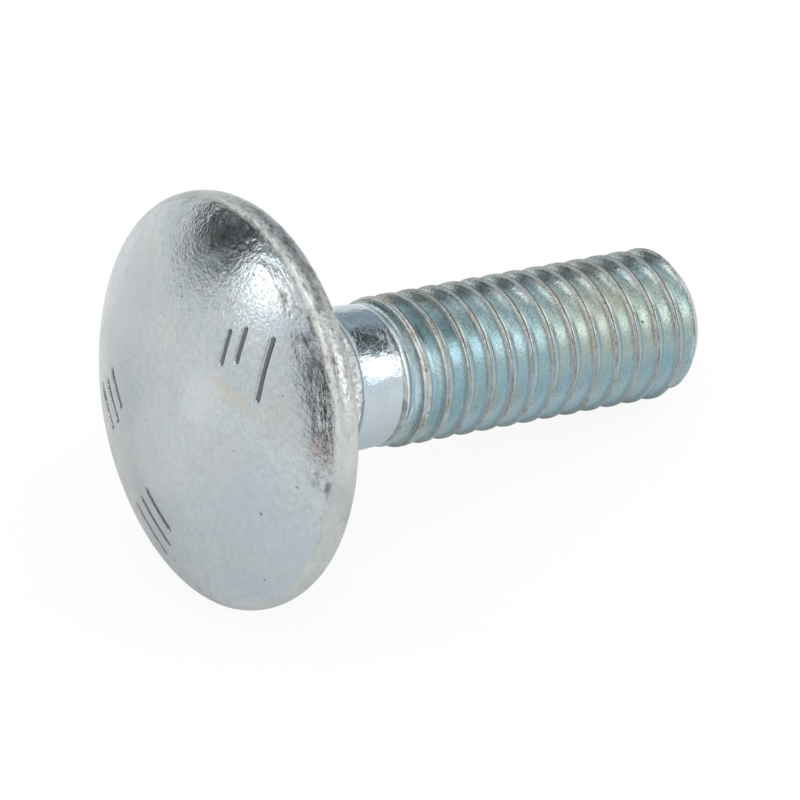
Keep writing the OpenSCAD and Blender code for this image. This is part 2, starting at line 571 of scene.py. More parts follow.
@dataclass(frozen=True)
class ThreadPlate(Plate):
    """Plate on the thread: tinted blue-green in the grooves, scuffed pale and rough on the crests, with
    painted shade, highlights and dark reflections laid over it.
    """

    pitch: float = 1.0
    first_crest: float = 5.99
    crest_r: float = 2.94
    crest_half: float = 0.0625
    spread: float = 0.14
    spread_from: float = 5.6
    spread_l: float = 3.5
    crest_low: tuple = (0.37, 0.38, 0.365)
    crest_high: tuple = (0.50, 0.50, 0.46)
    crest_dark: tuple = (0.22, 0.215, 0.20)
    crest_rough: float = 0.38
    crest_soft: float = 0.015
    above_at: tuple = (0.3, 0.75)
    side_at: tuple = (-0.01, 0.01)
    rub: float = 0.03
    wear: float = 0.12
    jitter_size: float = 1 / 6
    patch_size: float = 0.7
    patch_at: tuple = (0.42, 0.6)
    patch_share: float = 0.5
    strip_to: float = 5.95
    strip_share: float = 0.7
    end_blend: float = 0.1
    flake_size: float = 0.10
    flake_at: tuple = (0.44, 0.68)
    burr: float = 0.03
    edge_tint: tuple = (0.12, 0.11, 0.10)
    edge_width: float = 0.07
    edge_shift: float = 0.3
    edge_low: float = 0.42
    edge_high: float = 0.92
    seam_width: float = 0.03
    seam_at: tuple = (0.2, 0.7)
    seam_share: float = 0.6
    lip_highlight_tint: tuple = (0.92, 0.96, 1.0)
    lip_width: float = 0.19
    lip_grow: float = 0.3
    lip_full: float = 0.6
    lip_to: float = 6.1
    dark_reflection_size: float = 0.17
    dark_reflection_at: tuple = (0.50, 0.60)
    dark_reflection_share: float = 0.55
    dark_reflection_up_at: tuple = (0.72, 0.97)
    dark_reflection_tint: tuple = (0.09, 0.12, 0.12)
    root_at: tuple = (0.34, 0.41)
    root_share: float = 0.9
    root_low: tuple = (0.29, 0.42, 0.47)
    root_high: tuple = (0.36, 0.42, 0.42)
    outer_shade_tint: tuple = (0.32, 0.49, 0.575)
    outer_share: float = 0.8
    outer_at: tuple = (0.40, 0.18)
    outer_up_at: tuple = (0.45, 0.1)
    outer_z_at: tuple = (6.5, 9.5)
    outer_rest: float = 0.5
    top_at: tuple = (0.75, 1.0)
    top_rough: float = 0.07
    tip_at: tuple = (19.58, 19.63)
    tip_tint: tuple = (0.44, 0.445, 0.435)

    def helix(self, skin: Skin) -> Value:
        """Distance along the axis from the nearest crest's middle.

        Args:
            skin: the finish's tree.

        Returns:
            The distance, above 0 on the tip's side of the crest.
        """
        turn = skin.math("ARCTAN2", skin.y, skin.x) / (2 * math.pi)
        turns = (skin.z - self.first_crest) / self.pitch - turn
        return (turns - skin.math("ROUND", turns)) * self.pitch

    def crest_colour(self, skin: Skin, flake: Value, above: Value, seam: Value) -> object:
        """Colour of the crests, scuffed pale, and lighter on the bolt's upper side as painted light.

        Args:
            skin: the finish's tree.
            flake: fine noise that darkens the metal.
            above: 1 on the upper side of the bolt.
            seam: share of the rolling seam.

        Returns:
            The colour's socket.
        """
        strip = skin.z.ramp(self.strip_to, self.strip_to - self.end_blend) * self.strip_share
        # Painted light: crest_high makes the crests lighter on the bolt's upper side.
        return skin.paint(
            self.crest_low, (above, self.crest_high), (flake.ramp(*self.flake_at), self.crest_dark),
            (strip, self.crest_dark), (seam, self.edge_tint),
        )

    def dress(self, skin: Skin) -> None:
        """Ends the tree with the plate of grooves, crests and chamfer.

        Args:
            skin: the finish's tree.
        """
        colour, rough, height = self.coat(skin)
        z = skin.z
        # Local +X faces the floor, so that up is 1 at the top of the crests and -1 at the floor
        up = skin.x / -self.crest_r
        away = self.helix(skin)
        jitter = (skin.mottle(self.jitter_size, detail=3.0, rough=0.7, turn=5.0) - 0.5) * self.wear
        fade = 1 - (z - away - self.spread_from).ramp(0.0, self.spread_l)
        tip_side = away.ramp(*self.side_at)
        above = up.ramp(*self.above_at, True)
        beyond = abs(away) + jitter - self.crest_half - self.spread * fade - (1 - tip_side) * self.rub
        patch = skin.mottle(self.patch_size, detail=3.0, rough=0.6, turn=9.0).ramp(*self.patch_at)
        crest = beyond.ramp(self.crest_soft, -self.crest_soft) * (1 - patch * self.patch_share)
        width = self.edge_width
        # Painted shade: dark lines along the crests' edges, strongest on the tip side of the upper crests;
        # edge_tint also darkens the rolling seam.
        outline = abs(beyond - self.edge_shift * width + tip_side * width).ramp(width, 0.0)
        outline = outline * (tip_side * above * self.edge_high + (1 - tip_side) * self.edge_low)
        # Painted highlight: a pale blue-white line on the shoulder of the first groove.
        lip = (beyond / self.lip_width).ramp(0.0, self.lip_grow, True)
        lip = lip * (beyond / self.lip_width).ramp(1.0, self.lip_full, True)
        lip = lip * tip_side * z.ramp(self.lip_to, self.lip_to - self.end_blend)
        # Painted shade: the head-side flank near each crest is darker and bluer on the bolt's lower side.
        outer = (1 - tip_side) * abs(away).ramp(*self.outer_at) * up.ramp(*self.outer_up_at)
        outer = outer * (z.ramp(*self.outer_z_at) * (1 - self.outer_rest) + self.outer_rest)
        # Painted shade: the groove roots are darker, and bluer on the bolt's lower side.
        root = abs(away).ramp(*self.root_at, True) * self.root_share
        # Painted dark reflection: dark specks on the top of the thread.
        dark_reflection = skin.mottle(self.dark_reflection_size, detail=4.0, rough=0.75, turn=10.0).ramp(*self.dark_reflection_at)
        dark_reflection = dark_reflection * up.ramp(*self.dark_reflection_up_at)
        seam = abs(away + jitter).ramp(self.seam_width, 0.0) * fade.ramp(*self.seam_at) * self.seam_share
        flake = skin.mottle(self.flake_size, detail=2.0, rough=0.6, turn=8.0)
        tip = (z + jitter).ramp(*self.tip_at)
        colour = skin.paint(
            colour,
            (outer * self.outer_share, self.outer_shade_tint),
            (root, skin.paint(self.root_low, (above, self.root_high))),
            (dark_reflection * self.dark_reflection_share, self.dark_reflection_tint),
            (lip, self.lip_highlight_tint),
            (crest, self.crest_colour(skin, flake, above, seam)),
            (outline, self.edge_tint),
            (tip, self.tip_tint),
        )
        rubbed_and_sheen = crest.most(tip)
        rough = rough + up.ramp(*self.top_at) * self.top_rough
        rough = rough + (self.crest_rough - rough) * rubbed_and_sheen
        self.finish(skin, colour, rough, height - flake * rubbed_and_sheen * self.burr)


@dataclass(frozen=True)
class Ring:
    """One ring of the skin: radius and height as functions of the turn, in the bolt's own frame."""

    radius: Callable[[float], float]
    height: Callable[[float], float]
    zone: Zone


def round_ring(radius: float, height: float, zone: Zone) -> Ring:
    """Ring with one radius and one height."""
    return Ring(lambda turn: radius, lambda turn: height, zone)


@dataclass(frozen=True)
class Groove:
    """A straight groove struck in the dome, from one point to another, in millimetres across the head."""

    start: Vector
    end: Vector
    half_width: float = 0.035
    depth: float = 0.12
    wall: float = 0.10

    def depth_at(self, point: Vector) -> float:
        """Depth of the groove at a point of the dome.

        Args:
            point: the place across the head.

        Returns:
            The depth.
        """
        along = self.end - self.start
        share = max(0.0, min(1.0, (point - self.start).dot(along) / along.length_squared))
        apart = (point - self.start - share * along).length
        fall = max(0.0, min(1.0, (self.half_width + self.wall - apart) / self.wall))
        return self.depth * fall * fall * (3 - 2 * fall)


def heading(degrees: float) -> Vector:
    """Unit vector across the head."""
    return Vector((math.cos(math.radians(degrees)), math.sin(math.radians(degrees))))


@dataclass(frozen=True)
class Tally:
    """A group of parallel grooves: its middle, their direction, and each one's two shifts and length."""

    radius: float
    turn: float
    run: float
    grooves: tuple
    half_width: float = 0.035
    margin: float = 0.45

    def middle(self) -> Vector:
        """Middle of the group across the head."""
        return heading(self.turn) * self.radius

    def reach(self) -> float:
        """Radius of a circle round the whole group."""
        corners = (math.hypot(across, abs(along) + length / 2) for across, along, length in self.grooves)
        return max(corners) + self.half_width + self.margin

    def cut(self) -> list[Groove]:
        """Places the group's grooves.

        Returns:
            The grooves.
        """
        run = heading(self.run)
        side = Vector((-run.y, run.x))
        made = []
        for across, along, length in self.grooves:
            centre = self.middle() + side * across + run * along
            made.append(Groove(centre - run * length / 2, centre + run * length / 2, self.half_width))
        return made


@dataclass
class Head:
    """Domed head with its rounded rim, bearing face and struck grooves."""

    diameter: float = 16.0
    height: float = 3.4
    rim_h: float = 1.0
    rim_round: float = 1.0
    rim_belly: float = 0.6
    edge: float = 0.16
    back_edge: float = 0.10
    crown_r: float = 15.0
    crown_drop: float = 0.025
    roll_from: float = 6.5
    dome_rings: int = 56
    rim_rings: int = 12
    edge_rings: int = 4
    strike_cuts: int = 4
    tallies: tuple = (
        Tally(5.30, 214.5, 166.0, ((0.65, -0.40, 2.3), (-0.62, 0.17, 1.2), (-1.30, -0.10, 1.2))),
        Tally(4.75, 60.5, 118.0, ((-0.85, 0.15, 1.6), (0.05, -0.05, 1.5), (0.85, 0.10, 1.4)), 0.09),
        Tally(5.45, 3.5, 120.0, ((-0.95, 0.05, 2.0), (0.0, 0.0, 1.9), (0.90, 0.1, 1.6)), 0.09),
    )

    def front_r(self) -> float:
        """Radius at which the dome meets the rim."""
        rise = self.rim_h - self.rim_belly
        return self.diameter / 2 - self.rim_round + math.sqrt(self.rim_round ** 2 - rise ** 2)

    def crown_z(self, radius: float) -> float:
        """Height of the crown's sphere at a radius."""
        return self.crown_drop - self.height + self.crown_r - math.sqrt(self.crown_r ** 2 - radius ** 2)

    def dome_z(self, radius: float) -> float:
        """Height of the dome's skin: the crown's sphere, then the edge that rolls over.

        Args:
            radius: distance from the axis.

        Returns:
            The height.
        """
        if radius <= self.roll_from:
            return self.crown_z(radius)
        slope = self.roll_from / math.sqrt(self.crown_r ** 2 - self.roll_from ** 2)
        run, out = self.front_r() - self.roll_from, radius - self.roll_from
        bend = (-self.rim_h - self.crown_z(self.roll_from) - slope * run) / run ** 2
        return self.crown_z(self.roll_from) + slope * out + bend * out ** 2

    def rim_point(self, angle: float) -> tuple[float, float]:
        """Radius and height on the rim's round side, for an angle from straight out."""
        centre = self.diameter / 2 - self.rim_round
        return centre + self.rim_round * math.cos(angle), -self.rim_belly + self.rim_round * math.sin(angle)

    def rings(self) -> list[Ring]:
        """Rings from the crown to the bearing face.

        Returns:
            The rings in order.
        """
        front = self.front_r()
        last = front - self.edge
        radii = [last * i / self.dome_rings for i in range(1, self.dome_rings + 1)]
        rings = [round_ring(radius, self.dome_z(radius), Zone.DOME) for radius in radii]
        low = -math.asin((self.rim_h - self.rim_belly) / self.rim_round)
        high = math.asin(self.rim_belly / self.rim_round)
        start = low + self.edge / self.rim_round
        end = high - self.back_edge / self.rim_round
        rings += self.corner((last, self.dome_z(last)), (front, -self.rim_h), self.rim_point(start))
        for i in range(self.rim_rings + 1):
            angle = start + (end - start) * i / self.rim_rings
            rings.append(round_ring(*self.rim_point(angle), Zone.RIM))
        back_r = self.rim_point(high)[0]
        rings += self.corner(self.rim_point(end), (back_r, 0.0), (back_r - self.back_edge, 0.0))
        rings.append(round_ring(back_r - self.back_edge, 0.0, Zone.RIM))
        return rings

    def corner(self, before: tuple, tip: tuple, after: tuple) -> list[Ring]:
        """Rings that round a corner of the profile.

        Args:
            before: radius and height where the rounding starts.
            tip: the corner.
            after: radius and height where it ends.

        Returns:
            The rings between both ends.
        """
        rings = []
        for i in range(1, self.edge_rings + 1):
            t = i / (self.edge_rings + 1)
            weights = ((1 - t) ** 2, 2 * t * (1 - t), t ** 2)
            radius, height = (sum(w * p[k] for w, p in zip(weights, (before, tip, after))) for k in (0, 1))
            rings.append(round_ring(radius, height, Zone.RIM))
        return rings

    def strike(self, mesh: bmesh.types.BMesh) -> None:
        """Refines the dome round each group of grooves and sinks them.

        Args:
            mesh: the bolt's skin in its own frame.
        """
        grooves = [groove for tally in self.tallies for groove in tally.cut()]
        circles = [(tally.middle(), tally.reach()) for tally in self.tallies]
        centre_z = self.crown_z(0.0) + self.crown_r

        def near(point: Vector) -> bool:
            """True for a point of the dome close to a group."""
            return point.z < -self.rim_h and any((point.xy - c).length < reach for c, reach in circles)

        struck = mesh.verts.layers.float.new(STRUCK)
        edges = [e for e in mesh.edges if all(near(v.co) for v in e.verts)]
        bmesh.ops.subdivide_edges(mesh, edges=edges, cuts=self.strike_cuts, use_grid_fill=True)
        for vertex in mesh.verts:
            if near(vertex.co):
                across = vertex.co.xy
                foot = Vector((*across, self.dome_z(across.length)))
                depth = max(groove.depth_at(across) for groove in grooves)
                vertex.co = foot + (Vector((0.0, 0.0, centre_z)) - foot).normalized() * depth
                vertex[struck] = depth / grooves[0].depth


@dataclass
class Neck:
    """Square neck with rounded corners and the cone that ends it."""

    width: float = 6.0
    corner_d: float = 8.1
    length: float = 3.83
    turn: float = 51.0
    root_fillet: float = 0.3
    cone_blend: float = 0.10
    cone_gap: float = 0.05
    softness: float = 0.10
    face_shares: tuple = (0.25, 0.5, 0.75)
    fillet_rings: int = 4
    side_rings: int = 8
    cone_shares: tuple = (0.03, 0.1, 0.25, 0.4, 0.6, 0.8, 0.92)

    def outline(self, turn: float) -> float:
        """Radius of the square's outline.

        Args:
            turn: turn about the axis, in radians.

        Returns:
            The radius.
        """
        angle = turn - math.radians(self.turn)
        flat = self.width / 2 / max(abs(math.cos(angle)), abs(math.sin(angle)))
        corner = self.corner_d / 2
        overlap = max(0.0, self.softness - abs(flat - corner)) / self.softness
        return min(flat, corner) - overlap ** 2 * self.softness / 4

    def rings(self, bearing_r: float, shank_r: float) -> list[Ring]:
        """Rings from the bearing face to the shank.

        Args:
            bearing_r: radius where the bearing face starts.
            shank_r: radius of the shank.

        Returns:
            The rings in order.
        """
        rings = [self.face_ring(bearing_r, share) for share in self.face_shares]
        for i in range(self.fillet_rings + 1):
            angle = math.pi / 2 * i / self.fillet_rings
            grow = self.root_fillet * (1 - math.sin(angle))
            rise = self.root_fillet * (1 - math.cos(angle))
            zone = Zone.NECK if i else Zone.RIM
            rings.append(Ring(lambda t, g=grow: self.outline(t) + g, lambda t, z=rise: z, zone))
        for i in range(1, self.side_rings + 1):
            share = i / self.side_rings
            rings.append(Ring(self.outline, lambda t, s=share: self.side_z(t, s, shank_r), Zone.NECK))
        rings += [self.cone_ring(share, shank_r) for share in self.cone_shares]
        rings.append(round_ring(shank_r, self.length + self.cone_blend, Zone.SHANK))
        return rings

    def face_ring(self, bearing_r: float, share: float) -> Ring:
        """Ring on the bearing face, part of the way from its edge to the neck."""
        inner = self.root_fillet - bearing_r
        return Ring(lambda t: bearing_r + (self.outline(t) + inner) * share, lambda t: 0.0, Zone.RIM)

    def cone_ring(self, share: float, shank_r: float) -> Ring:
        """Ring on the cone, part of the way from the neck's side to the shank."""
        return Ring(
            lambda t: self.outline(t) + (shank_r - self.outline(t)) * share,
            lambda t: self.cone_z(t, shank_r) + (self.outline(t) - shank_r) * share,
            Zone.NECK,
        )

    def cone_z(self, turn: float, shank_r: float) -> float:
        """Height at which the cone starts at a turn."""
        return self.length - (self.outline(turn) - shank_r)

    def side_z(self, turn: float, share: float, shank_r: float) -> float:
        """Height part of the way up the neck's side."""
        top = self.cone_z(turn, shank_r) - self.cone_gap
        return self.root_fillet + (top - self.root_fillet) * share


@dataclass
class Thread:
    """Plain shank's end and the rolled thread, made by a Geometry Nodes tree. Lengths are in millimetres.

    The rows of a turn run from the groove before the crest to the groove after it. Rows are counted from
    the crest's middle: the seam, the flat crest, its rounded corner and the flank each end at a row.
    """

    length: float = 20.0
    shank_r: float = 2.74
    shank_end: float = 5.69
    start: float = 5.66
    crest_r: float = 2.94
    pitch: float = 1.0
    first_crest: float = 5.99
    run_out: float = 1.0
    crest_from: float = 0.1
    crest_rise: float = 0.7
    crest_spread: float = 0.14
    spread_l: float = 3.5
    seam: float = 0.03
    rounding: float = 0.012
    end_r: float = 2.35
    wander: float = 0.015
    wander_size: float = 1 / 2.2
    wander_r: float = 3.0
    weld: float = 1e-4
    end_gap: float = 1e-5
    root_blend: float = 0.001
    columns: int = 128
    half_rows: int = 12
    seam_row: int = 1
    flat_row: int = 2
    crest_row: int = 3
    flank_row: int = 8
    turns_before: int = 2
    turns_after: int = 1

    def sizes(self) -> dict[str, float]:
        """Sizes that the tree takes as named inputs."""
        return {name: size for name, size in vars(self).items() if isinstance(size, float)}

    def tree(self, material: bpy.types.Material) -> bpy.types.NodeTree:
        """Builds the tree that winds the thread's profile round the axis.

        Args:
            material: the thread's finish.

        Returns:
            The node tree.
        """
        tree = bpy.data.node_groups.new("rolled_thread", "GeometryNodeTree")
        graph = Graph(tree)
        tree.interface.new_socket("Geometry", in_out="OUTPUT", socket_type="NodeSocketGeometry")
        for name in self.sizes():
            tree.interface.new_socket(name, in_out="INPUT", socket_type="NodeSocketFloat")
        given = graph.node("NodeGroupInput").outputs
        size = {name: Value(graph, given[name]) for name in self.sizes()}
        first_turn = math.floor((self.start - self.first_crest) / self.pitch) - self.turns_before
        last_turn = math.ceil((self.length - self.first_crest) / self.pitch) + self.turns_after
        turns = last_turn - first_turn
        counts = {"Vertices X": turns * self.columns + 1, "Vertices Y": 2 * self.half_rows + 1}
        grid = graph.node("GeometryNodeMeshGrid", {"Size X": float(turns), "Size Y": 1.0, **counts})
        across, down, _ = graph.separate(graph.node("GeometryNodeInputPosition").outputs[0])
        place = self.place(graph, size, across + turns / 2, down * 2, first_turn)
        flow = grid.outputs[0]
        steps = (
            ("GeometryNodeSetPosition", {"Position": place}),
            ("GeometryNodeMergeByDistance", {"Distance": size["weld"]}),
            ("GeometryNodeRealizeInstances", {}),
            ("GeometryNodeSetMaterial", {"Material": material}),
        )
        for kind, inputs in steps:
            flow = graph.node(kind, {"Geometry": flow, **inputs}).outputs[0]
        graph.node("NodeGroupOutput", {"Geometry": flow})
        return tree

    def profile(self, graph: Graph, size: dict[str, Value], away: Value, edge: Value) -> tuple[Value, Value]:
        """Profile of half a turn, from the crest's middle to the groove's middle.

        Args:
            graph: the tree's wrapper.
            size: the tree's inputs.
            away: 0 at the crest's middle and 1 at the groove's.
            edge: half the crest's width.

        Returns:
            Distance along the axis from the crest's middle, and radius.
        """
        pitch, crest_r = size["pitch"], size["crest_r"]
        seam_at, flat_at, crest_at, flank_at = (
            row / self.half_rows for row in (self.seam_row, self.flat_row, self.crest_row, self.flank_row)
        )
        # Proportions of the metric thread: flanks at 60 degrees, and a root arc a quarter of the pitch wide
        flank_turn = math.pi / 3
        triangle = math.sqrt(3) / 2
        shoulder = pitch * (3 / 8)
        shoulder_r = crest_r - pitch * (triangle * 5 / 8)
        root_r = crest_r - pitch * (triangle * 17 / 24)
        arc_r = pitch / 8 / math.sin(flank_turn)
        arc_turn = (1 - away.ramp(flank_at, 1.0)) * flank_turn
        flank = away.ramp(crest_at, flank_at)
        in_root = away.ramp(flank_at - size["root_blend"], flank_at + size["root_blend"])
        slope_z = edge * away.ramp(0.0, crest_at) + (shoulder - edge) * flank
        root_z = pitch / 2 - arc_r * graph.math("SINE", arc_turn)
        groove = size["seam"] * (1 - away.ramp(0.0, seam_at))
        drop = pitch * size["rounding"]
        rounded = away.ramp(flat_at, crest_at) * drop
        slope_r = crest_r - groove - rounded - (crest_r - shoulder_r - drop) * flank
        bottom_r = root_r + arc_r * (1 - graph.math("COSINE", arc_turn))
        return slope_z + (root_z - slope_z) * in_root, slope_r + (bottom_r - slope_r) * in_root

    def place(self, graph: Graph, size: dict[str, Value], turn: Value, row: Value, first: int) -> Socket:
        """Position of a grid point on the thread.

        Args:
            graph: the tree's wrapper.
            size: the tree's inputs.
            turn: turns from the first one.
            row: -1 to 1 across one pitch, 0 on the crest.
            first: number of the first turn, counted from the first crest.

        Returns:
            The position's socket.
        """
        names = ("shank_r", "shank_end", "end_r", "length")
        shank_r, shank_end, end_r, length = (size[name] for name in names)
        crest_z = size["first_crest"] + size["pitch"] * (turn + first)
        fade = 1 - (crest_z - shank_end).ramp(0.0, size["spread_l"])
        edge = size["pitch"] / 16 + size["crest_spread"] * fade
        shift, full_r = self.profile(graph, size, abs(row), edge)
        free_z = crest_z + graph.math("SIGN", row) * shift
        z = free_z.most(size["start"]).least(length)
        angle = turn * (2 * math.pi)
        cosine, sine = graph.math("COSINE", angle), graph.math("SINE", angle)
        rough_place = graph.combine(cosine * size["wander_r"], sine * size["wander_r"], free_z)
        uneven = graph.noise(rough_place, size["wander_size"], detail=2.0, rough=0.6) * size["wander"]
        past = z - shank_end
        sunk = past.ramp(0.0, size["run_out"], True)
        risen = past.ramp(size["crest_from"], size["crest_from"] + size["crest_rise"], True)
        step = full_r - uneven - shank_r
        body_r = shank_r + risen * step.most(0.0) + sunk * step.least(0.0)
        radius = body_r.least(end_r + length - z)
        closed = (free_z - length).ramp(size["end_gap"] * -1, 0.0)
        radius = radius + (end_r - radius) * closed
        return graph.combine(radius * cosine, radius * sine, z)

    def mesh(self, material: bpy.types.Material) -> bpy.types.Mesh:
        """Evaluates the tree.

        Args:
            material: the thread's finish.

        Returns:
            The thread's open skin in the bolt's own frame, in millimetres.
        """
        carrier = add_object("thread_carrier", bpy.data.meshes.new("thread_carrier"))
        modifier = carrier.modifiers.new("rolled_thread", "NODES")
        modifier.node_group = self.tree(material)
        for item in modifier.node_group.interface.items_tree:
            if item.in_out == "INPUT":
                modifier[item.identifier] = self.sizes()[item.name]
        ready = carrier.evaluated_get(bpy.context.evaluated_depsgraph_get())
        mesh = bpy.data.meshes.new_from_object(ready)
        carrier.modifiers.remove(modifier)
        bpy.data.objects.remove(carrier)
        return mesh


@dataclass
class Bolt:
    """The whole bolt: head, neck, shank and thread in one closed skin. Lengths are in millimetres."""

    head: Head
    neck: Neck
    thread: Thread
    stance: Stance
    finishes: dict[Zone, Plate]
    shank_rings: int = 16
    barrel: float = 0.045
    barrel_power: float = 4.0
    tip_rings: int = 10
    dish: float = 0.12
    dish_share: float = 0.8
    weld: float = 2e-4
    sharp: float = 32.0

    def ring_list(self) -> tuple[list[Ring], list[Ring]]:
        """Rings before the thread and rings across the tip.

        Returns:
            Both lists, each from its pole outwards.
        """
        shank_r, end_r = self.thread.shank_r, self.thread.end_r
        rings = self.head.rings()
        rings += self.neck.rings(rings[-1].radius(0.0), shank_r + self.barrel)
        low = rings[-1].height(0.0)
        for i in range(1, self.shank_rings + 1):
            share = i / self.shank_rings
            height = low + (self.thread.start - low) * share
            radius = shank_r + self.barrel * (1 - share ** self.barrel_power)
            rings.append(round_ring(radius, height, Zone.SHANK))
        tip = []
        for i in range(1, self.tip_rings + 1):
            radius = end_r * i / self.tip_rings
            depth = self.dish * max(0.0, 1 - (radius / (self.dish_share * end_r)) ** 2)
            tip.append(round_ring(radius, self.thread.length - depth, Zone.TIP))
        return rings, tip

    def skin(self, bm: bmesh.types.BMesh, rings: list[Ring], pole_z: float, slots: list[Zone]) -> None:
        """Adds a band of rings that a pole closes at its first ring.

        Args:
            bm: mesh that gets the faces.
            rings: the rings, the first beside the pole.
            pole_z: height of the pole.
            slots: regions in the order of the material slots.
        """
        count = self.thread.columns
        turns = [2 * math.pi * i / count for i in range(count)]
        loops = []
        for ring in rings:
            points = (Vector((math.cos(t), math.sin(t), 0.0)) * ring.radius(t) for t in turns)
            heights = (Vector((0.0, 0.0, ring.height(t))) for t in turns)
            loops.append([bm.verts.new(point + height) for point, height in zip(points, heights)])
        pole = bm.verts.new((0.0, 0.0, pole_z))
        for i in range(count):
            j = (i + 1) % count
            face = bm.faces.new((pole, loops[0][i], loops[0][j]))
            face.material_index = slots.index(rings[0].zone)
            for ring, low, high in zip(rings[1:], loops, loops[1:]):
                face = bm.faces.new((low[i], high[i], high[j], low[j]))
                face.material_index = slots.index(ring.zone)

    def build(self) -> bpy.types.Object:
        """Makes the bolt's piece.

        Returns:
            The object, at the origin, with its place in its mesh.
        """
        slots = list(Zone)
        materials = {zone: self.finishes[zone].material(zone, self.stance) for zone in slots}
        wound = self.thread.mesh(materials[Zone.THREAD])
        bm = bmesh.new()
        bm.from_mesh(wound)
        bpy.data.meshes.remove(wound)
        for face in bm.faces:
            face.material_index = slots.index(Zone.THREAD)
        shank_side, tip = self.ring_list()
        self.skin(bm, shank_side, self.head.crown_z(0.0), slots)
        self.skin(bm, tip, self.thread.length - self.dish, slots)
        bmesh.ops.remove_doubles(bm, verts=bm.verts, dist=self.weld)
        self.head.strike(bm)
        bmesh.ops.triangulate(bm, faces=[f for f in bm.faces if len(f.verts) > 4])
        bmesh.ops.recalc_face_normals(bm, faces=bm.faces)
        bm.transform(self.stance.matrix())
        mesh = bpy.data.meshes.new("plated_bolt")
        bm.to_mesh(mesh)
        open_edges = sum(1 for e in bm.edges if len(e.link_faces) != 2)
        triangles = sum(len(face.verts) - 2 for face in bm.faces)
        volume = bm.calc_volume(signed=True) / MM ** 3
        log.info("skin: %d triangles, %d open edges, volume %.1f mm3", triangles, open_edges, volume)
        bm.free()
        for zone in slots:
            mesh.materials.append(materials[zone])
        mesh.shade_smooth()
        mesh.set_sharp_from_angle(angle=math.radians(self.sharp))
        return add_object("plated_bolt", mesh)


def direction(azimuth: float, elevation: float) -> Vector:
    """Unit vector of a direction, in degrees from +X towards +Y and above the floor."""
    a, e = math.radians(azimuth), math.radians(elevation)
    return Vector((math.cos(a) * math.cos(e), math.sin(a) * math.cos(e), math.sin(e)))


@dataclass(frozen=True)
class Eye:
    """The camera: its direction from the bolt, in degrees, and its lens."""

    azimuth: float = -123.0524
    elevation: float = 40.4404
    distance: float = 340.1286 * MM
    target: tuple = (-1.79149 * MM, -1.43695 * MM, 5.62546 * MM)
    lens: float = 402.875

    def place(self) -> None:
        """Makes the camera and sets it as the scene's."""
        camera = add_object("camera", bpy.data.cameras.new("camera"))
        camera.data.lens = self.lens
        away = direction(self.azimuth, self.elevation)
        camera.location = Vector(self.target) + away * self.distance
        camera.rotation_euler = (-away).to_track_quat("-Z", "Y").to_euler()
        bpy.context.scene.camera = camera


@dataclass(frozen=True)
class Panel:
    """A flat panel that faces the bolt: its direction, in degrees, and its sizes, in metres."""

    name: str
    azimuth: float
    elevation: float
    width: float
    height: float
    distance: float = 0.45
    roll: float = 0.0

    def pose(self) -> Matrix:
        """Where the panel stands, its face turned to the bolt.

        Returns:
            The transform.
        """
        away = direction(self.azimuth, self.elevation)
        facing = away.to_track_quat("Z", "Y").to_matrix().to_4x4()
        rolled = Matrix.Rotation(math.radians(self.roll), 4, "Z")
        return Matrix.Translation(away * self.distance) @ facing @ rolled


@dataclass(frozen=True)
class Softbox(Panel):
    """A lamp with a soft front; its level is how bright its front looks."""

    level: float = 1.5

    def place(self) -> None:
        """Makes the lamp."""
        lamp = bpy.data.lights.new(self.name, "AREA")
        lamp.shape = "RECTANGLE"
        lamp.size, lamp.size_y = self.width, self.height
        lamp.energy = self.level * math.pi * self.width * self.height
        made = add_object(self.name, lamp)
        made.matrix_world = self.pose()
        made.visible_camera = False


def sheet(name: str, sides: tuple, pose: Matrix, material: bpy.types.Material) -> bpy.types.Object:
    """Makes a flat rectangle for the studio.

    Args:
        name: its name.
        sides: its two sizes, in metres.
        pose: where it stands.
        material: its finish.

    Returns:
        The object.
    """
    mesh = bpy.data.meshes.new(name)
    bm = bmesh.new()
    bmesh.ops.create_grid(bm, x_segments=1, y_segments=1, size=0.5)
    bmesh.ops.scale(bm, verts=bm.verts, vec=(*sides, 1.0))
    bm.transform(pose)
    bm.to_mesh(mesh)
    bm.free()
    mesh.materials.append(material)
    return add_object(name, mesh)


@dataclass(frozen=True)
class Card(Panel):
    """A card that the metal reflects and the camera doesn't see."""

    level: float = 0.03
    colour: tuple = WHITE

    def place(self) -> None:
        """Makes the card."""
        material = new_material(self.name)
        graph = Graph(material.node_tree)
        front = graph.node("ShaderNodeEmission", {"Color": self.colour, "Strength": self.level})
        graph.node("ShaderNodeOutputMaterial", {"Surface": front.outputs[0]})
        made = sheet(self.name, (self.width, self.height), self.pose(), material)
        made.visible_camera = False
        made.visible_shadow = False
        made.visible_diffuse = False


